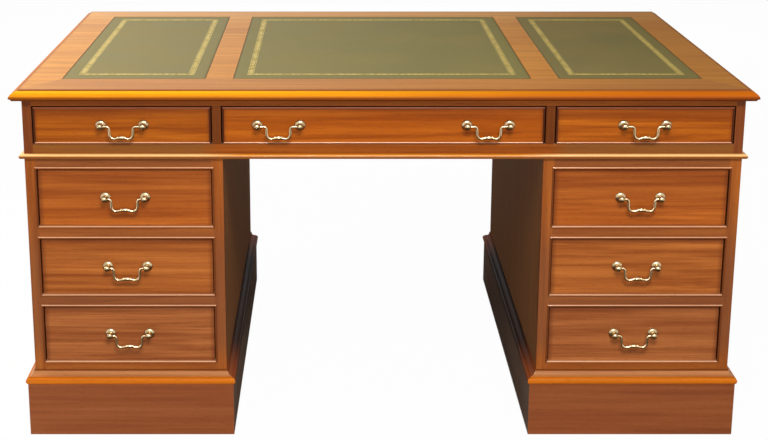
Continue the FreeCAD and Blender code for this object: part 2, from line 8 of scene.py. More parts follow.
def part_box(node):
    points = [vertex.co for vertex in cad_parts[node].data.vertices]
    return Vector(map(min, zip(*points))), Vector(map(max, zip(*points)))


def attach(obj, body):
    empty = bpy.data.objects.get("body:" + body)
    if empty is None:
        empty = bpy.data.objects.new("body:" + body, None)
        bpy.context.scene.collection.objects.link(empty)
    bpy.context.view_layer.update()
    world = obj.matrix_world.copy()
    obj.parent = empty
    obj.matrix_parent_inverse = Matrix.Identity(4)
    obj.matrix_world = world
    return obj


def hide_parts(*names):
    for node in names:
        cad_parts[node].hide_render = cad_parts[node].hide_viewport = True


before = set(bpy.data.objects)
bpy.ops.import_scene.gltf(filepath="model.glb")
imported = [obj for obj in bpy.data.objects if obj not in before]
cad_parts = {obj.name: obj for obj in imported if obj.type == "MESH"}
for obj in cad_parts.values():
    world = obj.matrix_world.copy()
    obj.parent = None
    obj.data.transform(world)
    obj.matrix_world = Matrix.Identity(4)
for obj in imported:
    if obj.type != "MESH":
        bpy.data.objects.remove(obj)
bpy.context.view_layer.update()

# Plinths. Each pedestal stands on a hollow box of mahogany boards, glue-blocked inside, with a mitred
# moulding round its top: a bead below and a hollow above. The boards are stained redder and darker than the
# moulding, and the whole is lacquered to a satin gloss.


class Tint:
    """A value, colour or direction in a finish. Arithmetic on values adds the nodes for it."""

    def __init__(self, socket):
        self.socket = socket

    def node(self, kind, inputs, settings=(), out=0):
        """A node of any kind: its settings first, then the values or links of its sockets."""
        tree = self.socket.id_data
        made = tree.nodes.new("ShaderNode" + kind)
        for name, value in dict(settings).items():
            setattr(made, name, value)
        for key, value in inputs.items():
            if isinstance(value, Tint):
                tree.links.new(value.socket, made.inputs[key])
            else:
                made.inputs[key].default_value = value
        return Tint(made.outputs[out])

    def math(self, operation, *values):
        return self.node("Math", dict(enumerate(values)), {"operation": operation})

    def __add__(self, other):
        return self.math("ADD", self, other)

    def __sub__(self, other):
        return self.math("SUBTRACT", self, other)

    def __rsub__(self, other):
        return self.math("SUBTRACT", other, self)

    def __mul__(self, other):
        return self.math("MULTIPLY", self, other)

    def __abs__(self):
        return self.math("ABSOLUTE", self)

    __radd__ = __add__
    __rmul__ = __mul__

    def vector(self, operation, *values):
        return self.node("VectorMath", dict(enumerate(values)), {"operation": operation})

    def scaled(self, factor):
        return self.node("VectorMath", {0: self, "Scale": factor}, {"operation": "SCALE"})

    def noise(self, scale, detail=2.0, turn=0.0, roughness=0.5):
        """Cloudy noise between 0 and 1, with turn as a fourth place that sets one board off from the next."""
        sockets = {"Vector": self, "Scale": scale, "Detail": detail, "W": turn, "Roughness": roughness}
        return self.node("TexNoise", sockets, {"noise_dimensions": "4D"})

    def step(self, low, high):
        """Goes smoothly from 0 at low to 1 at high."""
        sockets = {"Value": self, "From Min": low, "From Max": high}
        return self.node("MapRange", sockets, {"interpolation_type": "SMOOTHSTEP"})

    def mix(self, first, second):
        """A colour from first to second as this value goes from 0 to 1."""
        return self.node("Mix", {0: self, 6: first, 7: second}, {"data_type": "RGBA"}, 2)

    def bump(self, height, strength, depth):
        return self.node("Bump", {"Height": height, "Strength": strength, "Distance": depth})


def dye(red, green, blue):
    """A colour as it looks on a screen, 0 to 255, turned into the light it stands for."""
    light = [(c / 255 / 12.92 if c < 11 else ((c / 255 + 0.055) / 1.055) ** 2.4) for c in (red, green, blue)]
    return (*light, 1.0)


def finish(name, **sockets):
    """An empty material: its shader with the constant values given, and the place on the piece in metres."""
    made = bpy.data.materials.new(name)
    made.use_nodes = True
    shader = made.node_tree.nodes["Principled BSDF"]
    for socket, value in sockets.items():
        shader.inputs[socket.replace("_", " ")].default_value = value
    place = made.node_tree.nodes.new("ShaderNodeTexCoord")
    return made, shader, Tint(place.outputs["Object"])


def dress(shader, **inputs):
    """Links what varies over the surface to the shader."""
    for socket, tint in inputs.items():
        shader.id_data.links.new(tint.socket, shader.inputs[socket.replace("_", " ")])


def tone(colour, *shares):
    """A colour with its red, green and blue each taken to a share of what it was."""
    return (*(channel * share for channel, share in zip(colour, shares)), 1.0)


def grain(place):
    """A way to draw a pattern out along each board's grain, and the board's own number, from 0 to 1."""
    run = place.node("Attribute", {}, {"attribute_name": "run"}, "Vector")
    board = place.node("Attribute", {}, {"attribute_name": "board"}, "Fac")
    along = place.node("VectorMath", {0: place, 1: run}, {"operation": "DOT_PRODUCT"}, "Value")

    def drawn_out(share):
        return place.vector("ADD", place, run.scaled(along * (share - 1.0)))

    return drawn_out, board


def mahogany(name, body, gloss=0.30, lacquer=0.15, lively=1.0, shade=None):
    """Stained mahogany under more or less lacquer, with its grain along the run that each board carries."""
    made, shader, place = finish(
        name, Coat_Weight=lacquer, Coat_Roughness=0.08, Specular_IOR_Level=0.08 + 0.5 * lacquer,
    )
    deep = tone(body, 0.58, 0.46, 0.40)
    glow = tone(body, 1.18, 1.26, 1.30)
    drawn_out, board = grain(place)
    turn = board * 9.0
    wander = drawn_out(0.15).noise(6.0, 1.0, turn)
    stripe = drawn_out(0.018).noise(85.0, 3.0, turn + wander * 0.10, 0.60)
    streak = drawn_out(0.012).noise(480.0, 3.0, turn, 0.6)
    pores = drawn_out(0.045).noise(1500.0, 1.0, turn).step(0.60, 0.72)
    cloud = drawn_out(0.10).noise(14.0, 2.0, turn + 5.0)
    colour = ((1 - stripe.step(0.28, 0.60)) * (0.50 * lively)).mix(body, deep)
    colour = (stripe.step(0.52, 0.76) * (0.70 * lively)).mix(colour, glow)
    colour = (streak.step(0.46, 0.78) * (0.40 * lively)).mix(colour, deep)
    colour = (cloud.step(0.42, 0.78) * (0.30 * lively)).mix(colour, deep)
    colour = (board * 0.12).mix(colour, deep)
    colour = (pores * 0.40).mix(colour, tone(deep, 0.35, 0.30, 0.30))
    if shade:
        colour = shade(place, colour)
    height = streak * 0.3 - pores * 0.6
    dress(
        shader, Base_Color=colour, Roughness=gloss + 0.10 * streak + 0.10 * pores,
        Normal=place.bump(height, 0.15, 0.0005),
    )
    return made


AXES = {"x": (1, 0, 0), "y": (0, 1, 0), "z": (0, 0, 1)}
golden_share = 0.6180339  # keeps the numbers of neighbouring boards far apart


def lay_grain(node, rule):
    """Gives every face of a node the grain direction, number and finish of the board that it belongs to."""
    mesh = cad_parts[node].data
    mesh.materials.clear()
    mesh.attributes.new("run", "FLOAT_VECTOR", "FACE")
    mesh.attributes.new("board", "FLOAT", "FACE")
    for face in mesh.polygons:
        axis, number, coat = rule(face.center, face.normal)
        if coat.name not in mesh.materials:
            mesh.materials.append(coat)
        mesh.attributes["run"].data[face.index].vector = AXES[axis]
        mesh.attributes["board"].data[face.index].value = number * golden_share % 1.0
        face.material_index = mesh.materials.find(coat.name)


def axis_of(place, axis):
    return place.node("SeparateXYZ", {0: place}, (), axis)


def unlit(place, colour):
    """Painted shade: almost black inside the kneehole, away from its two ends."""
    return ((1 - abs(axis_of(place, "Y")).step(0.28, 0.56)) * 0.95).mix(colour, dye(24, 13, 8))


def end_lit(place, colour):
    """Painted shade, deeper in the middle of the kneehole, and painted light, paler just inside its two ends.
    """
    from_middle = abs(axis_of(place, "Y"))
    colour = ((1 - from_middle.step(0.0, 0.42)) * 0.5).mix(colour, dye(66, 56, 52))
    return (from_middle.step(0.38, 0.56) * 0.3).mix(colour, dye(142, 122, 116))


sides = {"left": -1, "right": 1}
plinth_finish = mahogany("plinth_mahogany", dye(138, 76, 40), 0.36, 0.10)
moulding_finish = mahogany("moulding_mahogany", dye(202, 110, 18), 0.40, 0.0)
# Painted reflection: the up-facing hollow takes a paler copy of the moulding's colour.
lit_hollow_finish = mahogany("lit_hollow_mahogany", dye(188, 124, 72), 0.36, 0.10)
# Painted shade: a darker, greyer copy of the plinth's colour for the boards' sides inside the kneehole.
shade_finish = mahogany("shaded_plinth_mahogany", dye(118, 94, 80), 0.36, 0.10, shade=end_lit)
unlit_finish = mahogany("unlit_moulding_mahogany", dye(150, 72, 26), 0.5, 0.0, shade=unlit)
# Painted shadow: a darker brown for the plinth's top fillet, where it meets the pedestal, and for the upright
# beads of the openings and doors.
quirk_shade_finish = mahogany("quirk_shade_mahogany", dye(114, 60, 26), 0.5, 0.0)
plinth_height = 0.117
hollow_foot = 0.1325
hollow_head = 0.1432
inner_x = 0.334
mostly = 0.5  # a face looks along an axis when more of its normal than this does
for side in sides:
    low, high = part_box(f"{side}_plinth")
    middle = (low + high) / 2
    half = (high - low) / 2

    def plinth_rule(centre, normal):
        if centre.z > plinth_height:
            lateral = half.x - abs(centre.x - middle.x) < half.y - abs(centre.y)
            # The moulding: painted shade inside the kneehole, painted shadow on the quirk, painted reflection
            # on the hollow.
            if lateral and abs(centre.x) < abs(middle.x):
                coat = unlit_finish
            elif centre.z > hollow_head:
                coat = quirk_shade_finish
            else:
                coat = lit_hollow_finish if centre.z > hollow_foot else moulding_finish
            return ("y" if lateral else "x"), 1 + (centre.y > 0), coat
        if abs(normal.x) > mostly:
            # The boards' sides inside the kneehole take the painted shade.
            in_kneehole = abs(centre.x) < inner_x
            return "y", 3 + (centre.x > middle.x), shade_finish if in_kneehole else plinth_finish
        return "x", 3 + (centre.y > 0), plinth_finish

    lay_grain(f"{side}_plinth", plinth_rule)

# Pedestals. Veneered side panels and a front and back frame of stiles and rails stand on each plinth. A small
# bead runs round every drawer opening. Stiles and panels have upright grain, and rails and beads have grain
# along their length.


def greyed(place, colour):
    """Darker and greyer at mid-height, from about 0.2 to 0.45 m up."""
    height = axis_of(place, "Z")
    grey_share = height.step(0.15, 0.22) - height.step(0.36, 0.54)
    return (grey_share * 0.5).mix(colour, dye(103, 63, 42))


side_finish = mahogany("side_mahogany", dye(158, 87, 30), lively=1.4)
frame_finish = mahogany("frame_mahogany", dye(156, 85, 30), lively=1.4, shade=greyed)
# Painted highlight: a pale copy for the up-facing crests of beads and the up-facing faces of the openings.
bead_highlight_finish = mahogany("bead_mahogany", dye(222, 166, 124), 0.20, 0.50, 0.5)
# Painted shadow: a darker copy for the top rail, under the waist moulding.
shaded_top_rail_finish = mahogany("top_rail_mahogany", dye(138, 78, 36), lively=1.4)
# Painted shade: dark brown for the sides and undersides of the openings, the ends of the cock beads and the
# edges of the fronts, in the gaps.
recess_shade = mahogany("recess_shade", dye(76, 36, 16), 0.5, 0.0)
# Painted shade: a greyer, unlacquered copy for the pedestals' sides inside the kneehole.
kneehole_shade_finish = mahogany("kneehole_shade_mahogany", dye(138, 92, 52), 0.45, 0.0)
stile = 0.0235
case_y = 0.517
top_rail_foot = 0.592
rail_pitch = 0.15
hair = 0.0001  # less than any step in the woodwork
crest = 0.3  # a bead's face is on its crest when its normal rises more than this
for side, sign in sides.items():
    low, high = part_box(f"{side}_pedestal_frame")

    def frame_rule(centre, normal):
        from_end = min(centre.x - low.x, high.x - centre.x)
        # Beads: painted shade on the upright lengths, painted highlight on the up-facing crests.
        if abs(centre.y) > case_y + hair:
            if from_end < stile:
                return "z", 6, quirk_shade_finish
            return "x", 6, bead_highlight_finish if normal.z > crest else frame_finish
        # Sides of the openings: painted highlight facing up, painted shade elsewhere.
        if abs(normal.y) < mostly and from_end > stile - hair:
            return "x", 6, bead_highlight_finish if normal.z > mostly else recess_shade
        if from_end < stile:
            return "z", 1 + (centre.x > (low.x + high.x) / 2) + 2 * (centre.y > 0), frame_finish
        number = 7 + int(centre.z / rail_pitch)
        return "x", number, shaded_top_rail_finish if centre.z > top_rail_foot else frame_finish

    def panel_rule(centre, normal):
        in_kneehole = sign * normal.x < -mostly and abs(centre.x) < inner_x + hair
        return "z", 1 + (centre.x > 0), kneehole_shade_finish if in_kneehole else side_finish

    lay_grain(f"{side}_pedestal_frame", frame_rule)
    lay_grain(f"{side}_pedestal_sides", panel_rule)

# Inside the pedestals and the frieze. Boards, runners, guides, dividers and shelves of a plain pale hardwood,
# planed and waxed, with grain along each board's length.


def bare_wood(name, body):
    """Planed and waxed hardwood that is never stained."""
    made, shader, place = finish(name, Specular_IOR_Level=0.25)
    deep = tone(body, 0.62, 0.55, 0.48)
    glow = tone(body, 1.20, 1.30, 1.42)
    drawn_out, board = grain(place)
    turn = board * 9.0
    rings = drawn_out(0.06).noise(60.0, 3.0, turn, 0.6)
    streak = drawn_out(0.02).noise(420.0, 3.0, turn)
    pores = drawn_out(0.05).noise(1100.0, 1.0, turn).step(0.62, 0.74)
    colour = rings.step(0.32, 0.70).mix(deep, body)
    colour = (streak.step(0.45, 0.80) * 0.5).mix(colour, glow)
    colour = (board * 0.35).mix(colour, deep)
    colour = (pores * 0.4).mix(colour, tone(deep, 0.4, 0.4, 0.4))
    height = streak * 0.4 - pores * 0.6
    dress(shader, Base_Color=colour, Roughness=0.52 + 0.12 * streak, Normal=place.bump(height, 0.25, 0.0006))
    return made


inside_finish = bare_wood("carcass_wood", dye(176, 128, 82))
boards_across, boards_up = 37, 53


def lengthwise(coat):
    """Grain from front to back, with a number that changes from board to board."""
    def rule(centre, normal):
        return "y", int(abs(centre.x) * boards_across + abs(centre.z) * boards_up), coat

    return rule


for node in ("left_pedestal_inside", "right_pedestal_inside", "frieze_inside"):
    lay_grain(node, lengthwise(inside_finish))

# Waist moulding. A half-round mahogany bead, mitred at the corners, covers the joint between the pedestals
# and the frieze, which lifts off them. Its upper half carries a painted highlight, paler above the pedestals.


def mitred_rule(corner, coat_of):
    """Four lengths that meet in mitres, up to the ring's outer corner."""
    def rule(centre, normal):
        lateral = corner.x - abs(centre.x) < corner.y - abs(centre.y)
        number = 1 + (centre.y > 0) + 2 * (centre.x > 0)
        return ("y" if lateral else "x"), number, coat_of(lateral, normal)

    return rule


def paler_above_pedestals(place, colour):
    """Paler above the pedestals."""
    above_pedestals = abs(axis_of(place, "X")).step(inner_x - 0.06, inner_x + 0.06)
    return (above_pedestals * 0.75).mix(colour, dye(250, 196, 128))


waist_finish = mahogany("waist_mahogany", dye(146, 84, 32), 0.24, 0.30, 0.6)
# Painted highlight: a paler copy for the bead's up-facing half.
waist_highlight_finish = mahogany("waist_highlight_mahogany", dye(214, 134, 26), 0.24, 0.30, 0.6, paler_above_pedestals)


def waist_coat(lateral, normal):
    return waist_highlight_finish if normal.z > crest else waist_finish


lay_grain("waist_moulding", mitred_rule(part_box("waist_moulding")[1], waist_coat))

# Frieze. Ends, rails and muntins frame three drawers at the front and three false fronts at the back.
# The ends and muntins are stained darker than the drawers, and the lower rail is browner above the pedestals.


def browned(place, colour):
    """Browner above the pedestals."""
    above_pedestals = abs(axis_of(place, "X")).step(inner_x, inner_x + 0.06)
    return (above_pedestals * 0.5).mix(colour, dye(108, 77, 38))


end_finish = mahogany("frieze_end_mahogany", dye(122, 63, 26), lively=1.4)
muntin_finish = mahogany("muntin_mahogany", dye(104, 52, 16), 0.30, 0.08, 1.4)
top_finish = mahogany("frieze_top_rail_mahogany", dye(154, 80, 22), lively=1.4)
rail_finish = mahogany("frieze_rail_mahogany", dye(148, 76, 18), 0.30, 0.08, 1.4, browned)
end_x = 0.728
opening_low, opening_high = 0.6449, 0.7265
muntin_near, muntin_far = 0.3365, 0.355


def frieze_rule(centre, normal):
    facing = abs(normal.y) > mostly
    if abs(centre.x) > end_x + hair:
        return ("z" if facing else "y"), 1 + (centre.x > 0), end_finish if facing else top_finish
    # Sides of the openings: painted highlight facing up, painted shade elsewhere.
    if not facing and opening_low - hair < centre.z < opening_high + hair:
        return "x", 6, bead_highlight_finish if normal.z > mostly else recess_shade
    if opening_low < centre.z < opening_high and muntin_near < abs(centre.x) < muntin_far:
        return "z", 3 + (centre.x > 0), muntin_finish
    above = centre.z > opening_high
    return "x", 5 + above, top_finish if above else rail_finish


lay_grain("frieze_frame", frieze_rule)

# Drawers. Nine fronts of mahogany with level grain, with toner and painted shade at their ends and top, on
# boxes of bare wood.
# A cock bead is let in round each frieze drawer. The three false fronts at the back match them.


def dark_rim(low, high, reach):
    """Deepens a drawer front's colour: toner and painted shade along its ends and top, and a painted shadow
    down to a reach.
    """
    def shade(place, colour):
        across = axis_of(place, "X") - (low.x + high.x) / 2
        from_end = (high.x - low.x) / 2 - abs(across)
        from_top = high.z - axis_of(place, "Z") + place.noise(14.0) * 0.006
        from_rim = place.math("MINIMUM", from_end, from_top)
        # Toner and painted shade along the rim, and painted shadow below the top, down to the reach.
        toner_and_shade = dye(84, 34, 18)
        colour = ((1 - from_top.step(0.010, reach)) * 0.36).mix(colour, toner_and_shade)
        return ((1 - from_rim.step(0.001, 0.012)) * 0.45).mix(colour, toner_and_shade)

    return shade


# How far down each front the painted shadow under the moulding or top bead reaches.
frieze_reach = 0.036
frieze_stains = {"left": dye(159, 82, 15), "centre": dye(173, 89, 15), "right": dye(165, 85, 15)}
tiers = {
    "lower": (dye(163, 96, 49), 0.020),
    "middle": (dye(165, 93, 38), 0.016),
    "upper": (dye(174, 93, 31), 0.120),
}
fronts = {f"{bay}_frieze_drawer": (stain, frieze_reach) for bay, stain in frieze_stains.items()}
fronts |= {f"{side}_{tier}_drawer": stain for side in sides for tier, stain in tiers.items()}
dull_bead_finish = mahogany("dull_bead_mahogany", dye(132, 72, 46), 0.30, 0.15, 0.5)
box_finish = bare_wood("drawer_box_wood", dye(188, 140, 92))
cock_bead = 0.004
bead_reach = 0.003


def front_rule(low, high, face, number, coat):
    """Level grain. A cock bead carries a painted highlight on the crest of its lower length, is dull above,
    and takes painted shade at its ends.
    """
    def rule(centre, normal):
        from_end = min(centre.x - low.x, high.x - centre.x)
        from_edge = min(centre.z - low.z, high.z - centre.z)
        if abs(centre.y) > face + hair:
            if from_end < min(from_edge, cock_bead):
                return "z", number, recess_shade
            below = centre.z < (low.z + high.z) / 2
            return "x", number, bead_highlight_finish if below and normal.z > crest else dull_bead_finish
        # The front's own edges lie in the gap and take the painted shade.
        on_edge = abs(normal.y) < mostly and min(from_end, from_edge) < hair
        return "x", number, recess_shade if on_edge else coat

    return rule


for number, (drawer, (body, reach)) in enumerate(fronts.items()):
    low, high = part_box(f"{drawer}_front")
    front_finish = mahogany(f"{drawer}_mahogany", body, 0.24, 0.12, 2.0, dark_rim(low, high, reach))
    face = -low.y - (bead_reach if "frieze" in drawer else 0)
    lay_grain(f"{drawer}_front", front_rule(low, high, face, number, front_finish))
    lay_grain(f"{drawer}_box", lengthwise(box_finish))

bays = [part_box(f"{drawer}_front") for drawer in fronts if "frieze" in drawer]
false_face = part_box("frieze_false_fronts")[1].y - bead_reach
false_finish = mahogany("false_front_mahogany", frieze_stains["centre"], 0.24, 0.12, 2.0)


def false_rule(centre, normal):
    number = sum(centre.x > high.x + cock_bead for low, high in bays[:-1])
    return front_rule(*bays[number], false_face, number, false_finish)(centre, normal)


lay_grain("frieze_false_fronts", false_rule)

# Handles. Each is a swan-neck bail of cast brass that swings between two turned posts, which are bolted
# through the front. The brass is polished, then left to dull to a pale straw colour, with an olive painted
# shade underneath. The bails take a paler brass than the posts as a painted highlight.


def polish(node, coat):
    """Gives a whole node one finish."""
    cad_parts[node].data.materials.clear()
    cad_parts[node].data.materials.append(coat)


def old_brass(name, body):
    """Polished brass that has dulled unevenly, with fine scratches, and an olive painted shade underneath."""
    made, shader, place = finish(name, Metallic=1.0)
    dull = place.noise(55.0, 3.0).step(0.40, 0.70)
    scratch = place.noise(900.0, 2.0)
    upward = axis_of(Tint(place.socket.node.outputs["Normal"]), "Z")
    olive = dye(98, 82, 48)
    colour = (dull * 0.6).mix(body, tone(body, 0.55, 0.52, 0.44))
    colour = (place.noise(210.0, 2.0).step(0.50, 0.72) * 0.4).mix(colour, tone(body, 1.25, 1.30, 1.45))
    # Olive painted shade on the faces that look down.
    colour = ((1 - upward.step(-0.80, 0.35)) * 0.8).mix(colour, olive)
    dress(
        shader, Base_Color=colour, Roughness=0.18 + 0.12 * dull + 0.05 * scratch,
        Normal=place.bump(scratch, 0.08, 0.0003),
    )
    return made


brass_finish = old_brass("antique_brass_finish", dye(214, 190, 146))
# Painted highlight: the bails take a paler brass than the posts.
bail_finish = old_brass("handled_brass_finish", dye(248, 222, 176))
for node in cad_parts:
    if node.endswith("_bail"):
        polish(node, bail_finish)
    elif node.endswith(("_posts", "_door_brass")) or node == "hinge_leaves_and_pins":
        polish(node, brass_finish)

# Cupboard doors at the back. Each is a flush mahogany leaf with upright grain and an applied bead, and has a
# brass knob and two butt hinges, finished as the handles are.
door_finish = mahogany("door_mahogany", dye(176, 92, 30), 0.24, 0.12, 1.6)
for side in sides:
    low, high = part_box(f"{side}_cupboard_door")

    def door_rule(centre, normal):
        # The applied bead: painted shade on its upright lengths, painted highlight on its up-facing crests.
        if centre.y > case_y + hair:
            if min(centre.x - low.x, high.x - centre.x) < min(centre.z - low.z, high.z - centre.z):
                return "z", 4, quirk_shade_finish
            return "x", 4, bead_highlight_finish if normal.z > crest else door_finish
        return "z", 2 + (centre.x > 0), door_finish

    lay_grain(f"{side}_cupboard_door", door_rule)

# Desk top. A core board carries mahogany bands, mitred at the corners, and a moulding is glued round its
# edge. The end bands and dividers are cross-grained and paler, and the moulding is a clear golden colour in
# front.
core_finish = bare_wood("core_wood", dye(140, 84, 44))
band_low, band_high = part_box("top_bands")


def inset(place, low, high):
    """How far a place lies in from the sides, and from the front and back, of a level rectangle."""
    middle, half = (low + high) / 2, (high - low) / 2
    return half.x - abs(axis_of(place, "X") - middle.x), half.y - abs(axis_of(place, "Y") - middle.y)


def painted_band_light(place, colour):
    """Bands with painted light: a painted sheen towards the back, painted shade towards the right, and a
    painted shadow by the moulding.
    """
    from_side, from_front = inset(place, band_low, band_high)
    colour = (axis_of(place, "Y").step(0.30, 0.50) * 0.3).mix(colour, dye(250, 190, 110))
    colour = (axis_of(place, "X").step(0.20, 0.70) * 0.4).mix(colour, dye(146, 96, 50))
    from_quirk = place.math("MINIMUM", from_side * 2.5, from_front)
    return ((1 - from_quirk.step(0.005, 0.011)) * 0.6).mix(colour, dye(120, 56, 14))


edge_low, edge_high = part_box("top_edge_moulding")


def golden(place, colour):
    """The moulding's colour with painted light: yellower on top as a painted highlight, deeper towards the
    right as painted shade, dark below as painted shadow.
    """
    height = (axis_of(place, "Z") - edge_low.z) * (1 / (edge_high.z - edge_low.z))
    height = height + place.noise(9.0, 3.0) * 0.1
    colour = (height.step(0.70, 1.05) * 0.55).mix(colour, dye(252, 186, 30))
    colour = (axis_of(place, "X").step(-0.45, 0.65) * 0.9).mix(colour, dye(170, 78, 4))
    return ((1 - height.step(0.40, 0.72)) * 0.85).mix(colour, dye(104, 42, 4))


# The bands carry painted sheen, shade and shadow, and the edge moulding carries painted light.
end_band_finish = mahogany("end_band_mahogany", dye(212, 140, 46), 0.34, 0.15, 1.3, painted_band_light)
long_band_finish = mahogany("long_band_mahogany", dye(198, 129, 48), 0.34, 0.15, 1.3, painted_band_light)
edge_finish = mahogany("edge_mahogany", dye(232, 144, 8), 0.48, 0.0, 1.0, golden)
end_edge_finish = mahogany("end_edge_mahogany", dye(180, 106, 40), 0.48, 0.0)
# Painted shadow: a dark copy for the edge moulding's down-facing cove.
cove_shade_finish = mahogany("cove_shade_mahogany", dye(112, 50, 8), 0.48, 0.0)
cove_share = -0.15  # the edge's face is in its cove when its normal falls more than this
lay_grain("top_board", lambda centre, normal: ("x", 1, core_finish))


def edge_coat(lateral, normal):
    if normal.z < cove_share:
        return cove_shade_finish
    return end_edge_finish if lateral else edge_finish


lay_grain("top_edge_moulding", mitred_rule(edge_high, edge_coat))
leather_low, leather_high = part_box("leather_left")[0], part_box("leather_right")[1]


def band_rule(centre, normal):
    """The mitres run from the leathers' corners to the corners of the top."""
    beyond = []
    for axis in "xy":
        for inner, outer in ((leather_low, band_low), (leather_high, band_high)):
            edge, rim, here = (getattr(point, axis) for point in (inner, outer, centre))
            beyond.append((here - edge) / (rim - edge))
    left, right, front, back = beyond
    if max(front, back) > max(left, right, 0):
        return "x", 1 + (back > front), long_band_finish
    return "x", 3 + (centre.x > 0) + 2 * (max(left, right) > 0), end_band_finish


lay_grain("top_bands", band_rule)

# Leathers. Three thin skins of olive-green hide are glued into their beds, a hair below the bands. Each has a
# gilt border, pressed in with hot tools: two fillets, a plait of two ribbons with a dot in each eye, and a
# flower in each corner.


def hide(name, body, low, high, border):
    """Polished hide: fine pebbled grain, uneven from use, greener outside the border, with painted shade
    along its edge.
    """
    made, shader, place = finish(name, Specular_IOR_Level=0.35)
    pebble = place.node("TexVoronoi", {"Vector": place, "Scale": 800.0}, {"feature": "DISTANCE_TO_EDGE"})
    mottle = place.noise(7.0, 3.0)
    crease = pebble.step(0.0, 0.22)
    from_side, from_front = inset(place, low, high)
    inside = place.math("MINIMUM", from_side - border.x, from_front - border.y).step(-0.001, 0.001)
    # Painted shade along the skin's edge, where it lies a hair below the bands.
    edge = place.math("MINIMUM", from_side * 2.0, from_front).step(0.004, 0.010)
    colour = mottle.step(0.30, 0.72).mix(tone(body, 0.88, 0.92, 0.88), tone(body, 1.08, 1.05, 1.02))
    colour = ((1 - inside) * 0.8).mix(colour, tone(body, 0.92, 0.95, 0.86))
    colour = (place.noise(70.0, 3.0).step(0.48, 0.75) * 0.25).mix(colour, tone(body, 0.62, 0.66, 0.55))
    colour = ((1 - crease) * 0.30).mix(colour, tone(body, 0.55, 0.58, 0.50))
    colour = ((1 - edge) * 0.6).mix(colour, tone(body, 0.30, 0.28, 0.20))
    dress(shader, Base_Color=colour, Roughness=0.40 + 0.14 * mottle, Normal=place.bump(crease, 0.20, 0.0002))
    return made


def piece_of(name, mesh, body):
    """A new piece that rides on a body."""
    piece = bpy.data.objects.new(name, mesh)
    bpy.context.scene.collection.objects.link(piece)
    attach(piece, body)
    return piece


def closed_mesh(name, bm):
    """A mesh of all the faces made so far, with each one facing outwards."""
    bmesh.ops.recalc_face_normals(bm, faces=bm.faces)
    mesh = bpy.data.meshes.new(name)
    bm.to_mesh(mesh)
    bm.free()
    return mesh


def skin(name, low, high):
    """A closed thin skin with a soft edge and the faint waves of glued leather."""
    soft, cell = 0.0018, 0.008
    wave_height, waves, edge_drop = 0.00005, 24, 0.0007

    def stations(start, end):
        count = round((end - start - 2 * soft) / cell)
        inside = [start + soft + (end - start - 2 * soft) * k / count for k in range(count + 1)]
        return [start, start + soft / 4, start + soft / 2, *inside, end - soft / 2, end - soft / 4, end]

    across, back = stations(low.x, high.x), stations(low.y, high.y)
    bm = bmesh.new()
    rows = []
    for y in back:
        row = []
        for x in across:
            inward = min(x - low.x, high.x - x, y - low.y, high.y - y, soft) / soft
            wave = wave_height * noise.noise(Vector((x * waves, y * waves, 0)))
            row.append(bm.verts.new((x, y, high.z + wave * inward - edge_drop * (1 - inward) ** 2)))
        rows.append(row)
    for first, second in zip(rows, rows[1:]):
        for a, b, c, d in zip(first, first[1:], second[1:], second):
            bm.faces.new((a, b, c, d)).smooth = True
    rim = [edge for edge in bm.edges if edge.is_boundary]
    walls = bmesh.ops.extrude_edge_only(bm, edges=rim)["geom"]
    for part in walls:
        if isinstance(part, bmesh.types.BMVert):
            part.co.z = low.z
    bmesh.ops.holes_fill(bm, edges=[edge for edge in bm.edges if edge.is_boundary])
    return closed_mesh(name, bm)


